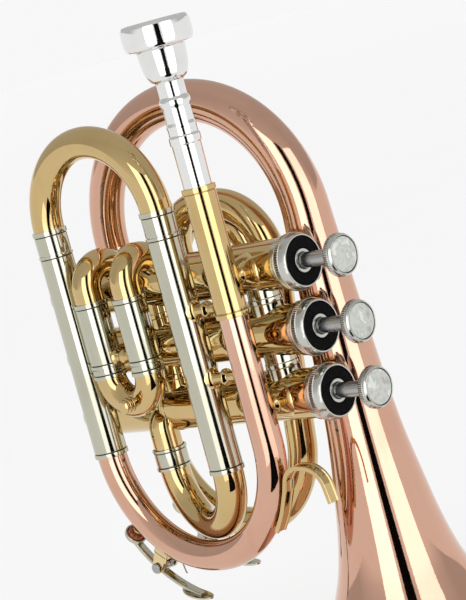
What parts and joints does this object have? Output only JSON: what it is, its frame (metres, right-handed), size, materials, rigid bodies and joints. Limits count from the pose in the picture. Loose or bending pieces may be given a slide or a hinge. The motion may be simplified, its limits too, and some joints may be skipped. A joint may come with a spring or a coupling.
{
  "type": "pocket trumpet",
  "caption": "Compact trumpet: tubing wound twice round piston valves, with pull slides, water keys, flared bell and a removable mouthpiece.",
  "frame": {"origin": "middle of the footprint's bounding box, on the plane that the bell's rim stands on", "axes": "+Z from the bell's mouth up to the mouthpiece, +X from the valves' bottom caps to the finger buttons, +Y from the leadpipe's side to the bell's side"},
  "size_m": [0.1824, 0.116, 0.273],
  "materials": {
    "brass": "lacquered yellow brass, polished",
    "rose_brass": "lacquered rose brass, polished",
    "nickel": "polished nickel silver",
    "silver": "bright silver plate",
    "steel": "satin",
    "pearl": "mother-of-pearl inlay",
    "felt": "black felt",
    "cork": "cork"
  },
  "bodies": {
    "instrument": {"receiver": "brass", "leadpipe": "rose_brass", "tuning_sleeve_left": "nickel", "tuning_sleeve_right": "nickel", "lower_bow": "brass", "inlet_ferrule": "nickel", "first_sleeves": "nickel", "third_sleeves": "nickel", "bell": "rose_brass", "tail_ferrule": "nickel", "wrap_tube": "brass", "rear_crook": "brass", "leadpipe_brace_1": "brass", "leadpipe_brace_3": "brass", "slide_brace_1": "brass", "slide_brace_2": "brass", "bell_brace_1": "brass", "bell_brace_2": "brass", "sleeve_brace": "brass", "finger_hook": "brass", "casing_1": "brass", "casing_2": "brass", "casing_3": "brass", "top_cap_1": "nickel", "top_cap_2": "nickel", "top_cap_3": "nickel", "bottom_cap_1": "nickel", "bottom_cap_2": "nickel", "bottom_cap_3": "nickel", "felt_1": "felt", "felt_2": "felt", "felt_3": "felt", "valve_spring_1": "steel", "valve_spring_2": "steel", "valve_spring_3": "steel", "water_key_saddle_1": "brass", "water_key_saddle_2": "brass", "water_key_pin_1": "steel", "water_key_pin_2": "steel", "water_key_spring_1": "steel", "water_key_spring_2": "steel"},
    "mouthpiece": {"mouthpiece": "silver"},
    "valve_1": {"piston_1": "steel", "button_1": "nickel", "pearl_1": "pearl"},
    "valve_2": {"piston_2": "steel", "button_2": "nickel", "pearl_2": "pearl"},
    "valve_3": {"piston_3": "steel", "button_3": "nickel", "pearl_3": "pearl"},
    "tuning_slide": {"tuning_slide": "brass"},
    "first_slide": {"first_slide": "brass"},
    "second_slide": {"second_slide": "brass"},
    "third_slide": {"third_slide": "brass"},
    "water_key_1": {"water_key_lever_1": "nickel", "water_key_cork_1": "cork"},
    "water_key_2": {"water_key_lever_2": "nickel", "water_key_cork_2": "cork"}
  },
  "joints": [
    {"name": "valve_1_press", "type": "slide", "parent": "instrument", "child": "valve_1", "axis": [-1, 0, 0], "range_m": [0, 0.0155], "stiffness_N_per_m": 100, "springref_m": -0.03, "deforming": ["valve_spring_1"]},
    {"name": "valve_2_press", "type": "slide", "parent": "instrument", "child": "valve_2", "axis": [-1, 0, 0], "range_m": [0, 0.0155], "stiffness_N_per_m": 100, "springref_m": -0.03, "deforming": ["valve_spring_2"]},
    {"name": "valve_3_press", "type": "slide", "parent": "instrument", "child": "valve_3", "axis": [-1, 0, 0], "range_m": [0, 0.0155], "stiffness_N_per_m": 100, "springref_m": -0.03, "deforming": ["valve_spring_3"]},
    {"name": "mouthpiece_pull", "type": "slide", "parent": "instrument", "child": "mouthpiece", "axis": [0, 0, 1], "range_m": [0, 0.02]},
    {"name": "tuning_slide_pull", "type": "slide", "parent": "instrument", "child": "tuning_slide", "axis": [0, 0, 1], "range_m": [0, 0.025]},
    {"name": "first_slide_pull", "type": "slide", "parent": "instrument", "child": "first_slide", "axis": [0, 0, -1], "range_m": [0, 0.015]},
    {"name": "second_slide_pull", "type": "slide", "parent": "instrument", "child": "second_slide", "axis": [0, 1, 0], "range_m": [0, 0.01]},
    {"name": "third_slide_pull", "type": "slide", "parent": "instrument", "child": "third_slide", "axis": [0, 0, 1], "range_m": [0, 0.016]},
    {"name": "water_key_1_open", "type": "hinge", "parent": "instrument", "child": "water_key_1", "pos_m": [-0.05197, -0.04454, 0.0532], "axis": [0, -1, 0], "range_deg": [0, 14], "stiffness_Nm_per_rad": 0.03, "springref_deg": -34.38},
    {"name": "water_key_2_open", "type": "hinge", "parent": "instrument", "child": "water_key_2", "pos_m": [-0.06319, -0.00524, 0.0532], "axis": [0, -1, 0], "range_deg": [0, 14], "stiffness_Nm_per_rad": 0.03, "springref_deg": -34.38}
  ]
}
